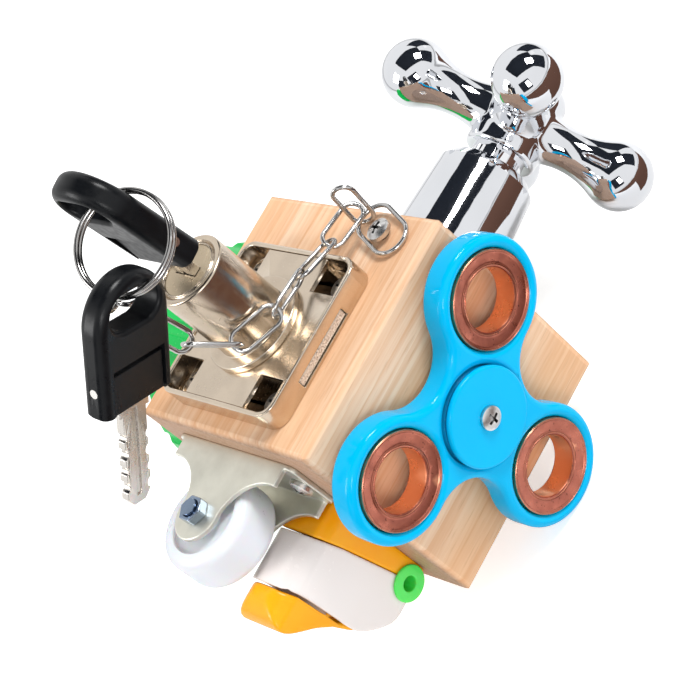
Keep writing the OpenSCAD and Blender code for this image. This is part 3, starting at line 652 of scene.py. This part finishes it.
def flat_mesh(name, width, height):
    """A rectangle about the origin, in the plane z = 0."""
    mesh = bpy.data.meshes.new(name)
    w = width / 2
    h = height / 2
    mesh.from_pydata([(-w, -h, 0), (w, -h, 0), (w, h, 0), (-w, h, 0)], [], [(0, 1, 2, 3)])
    return mesh


def add_floor():
    """Pale floor under the lowest point, white in the light, with the shadow left on it."""
    floor = added("floor", flat_mesh("floor", FLOOR_SIDE, FLOOR_SIDE))
    floor.location = (0, 0, FLOOR_Z)
    s = Shader("floor", (0.86, 0.86, 0.86, 1), 0.9, Specular_IOR_Level=0.1)
    s.set("Emission Color", (1, 1, 1, 1))
    s.link(s.maths("MULTIPLY", s.node("ShaderNodeLightPath").outputs["Is Camera Ray"], FLOOR_GLOW),
           s.bsdf.inputs["Emission Strength"])
    floor.data.materials.append(s.material)


def add_world():
    """White to the camera, in gloss and through clear plastic; a softer fill for everything else."""
    world = bpy.data.worlds.new("studio")
    bpy.context.scene.world = world
    world.use_nodes = True
    tree = world.node_tree
    back = tree.nodes["Background"]
    back.inputs["Color"].default_value = (1, 1, 1, 1)
    path = tree.nodes.new("ShaderNodeLightPath")
    total = path.outputs["Is Camera Ray"]
    for name in ("Is Glossy Ray", "Is Transmission Ray"):
        join = tree.nodes.new("ShaderNodeMath")
        join.operation = "MAXIMUM"
        tree.links.new(total, join.inputs[0])
        tree.links.new(path.outputs[name], join.inputs[1])
        total = join.outputs[0]
    level = tree.nodes.new("ShaderNodeMapRange")
    level.inputs["To Min"].default_value = FILL
    level.inputs["To Max"].default_value = 1.0
    tree.links.new(total, level.inputs["Value"])
    tree.links.new(level.outputs["Result"], back.inputs["Strength"])


def aim(thing, place, target=MIDDLE):
    """Puts a lamp or a card at the place, turned to the target."""
    thing.location = place
    thing.rotation_mode = "QUATERNION"
    thing.rotation_quaternion = (target - Vector(place)).to_track_quat("-Z", "Y")


def add_lamp(name, place, width, height, watts):
    lamp = bpy.data.lights.new(name, "AREA")
    lamp.shape = "RECTANGLE"
    lamp.size = width
    lamp.size_y = height
    lamp.energy = watts
    aim(added(name, lamp), place)


def add_flag(name, place, width, height, colour, target=MIDDLE):
    """Dark card that only shows in the reflections, to give polished metal its bands."""
    card = added(name, flat_mesh(name, width, height))
    aim(card, place, target)
    card.data.materials.append(Shader(name, colour, 0.9, Specular_IOR_Level=0).material)
    card.visible_camera = False
    card.visible_diffuse = False
    card.visible_shadow = False
    card.visible_transmission = False


def add_floor_flag(name, x, y, width, height, colour):
    """A dark card that lies on the floor."""
    add_flag(name, (x, y, FLOOR_Z + CARD_RISE), width, height, colour, Vector((x, y, SKY)))


def add_studio():
    add_floor()
    add_world()
    add_lamp("key", (0.35, 0.55, 0.75), 0.3, 0.3, 7)
    add_lamp("side", (0.75, -0.45, 0.45), 0.2, 0.3, 2.4)
    add_lamp("left", (-0.35, -0.6, 0.55), 0.3, 0.4, 3)
    slate = rgb(46, 50, 58)
    umber = rgb(92, 66, 56)
    add_flag("flag_high", (0.14, 0.3, 1.15), 1.3, 1.7, slate)
    add_flag("flag_back", (0.62, 0.89, 0.51), 0.8, 0.7, slate)
    add_flag("flag_front", (0.8, -0.75, 0.55), 0.8, 0.7, slate)
    add_floor_flag("flag_low", 0.36, 0, 0.52, 0.8, umber)
    add_floor_flag("flag_near", 0.07, 0.32, 0.06, 0.5, umber)
    add_flag("flag_left", (-0.15, -1.0, 0.3), 0.45, 0.7, slate)
    add_flag("flag_right", (-0.35, 1.0, 0.35), 0.5, 0.7, slate)


bpy.context.scene.view_settings.view_transform = "Standard"
add_camera()
dress_block()
dress_lock()
dress_keys()
dress_chain()
dress_screws()
dress_spinner()
dress_tap()
dress_caster()
dress_toy()
dress_dial()
add_studio()
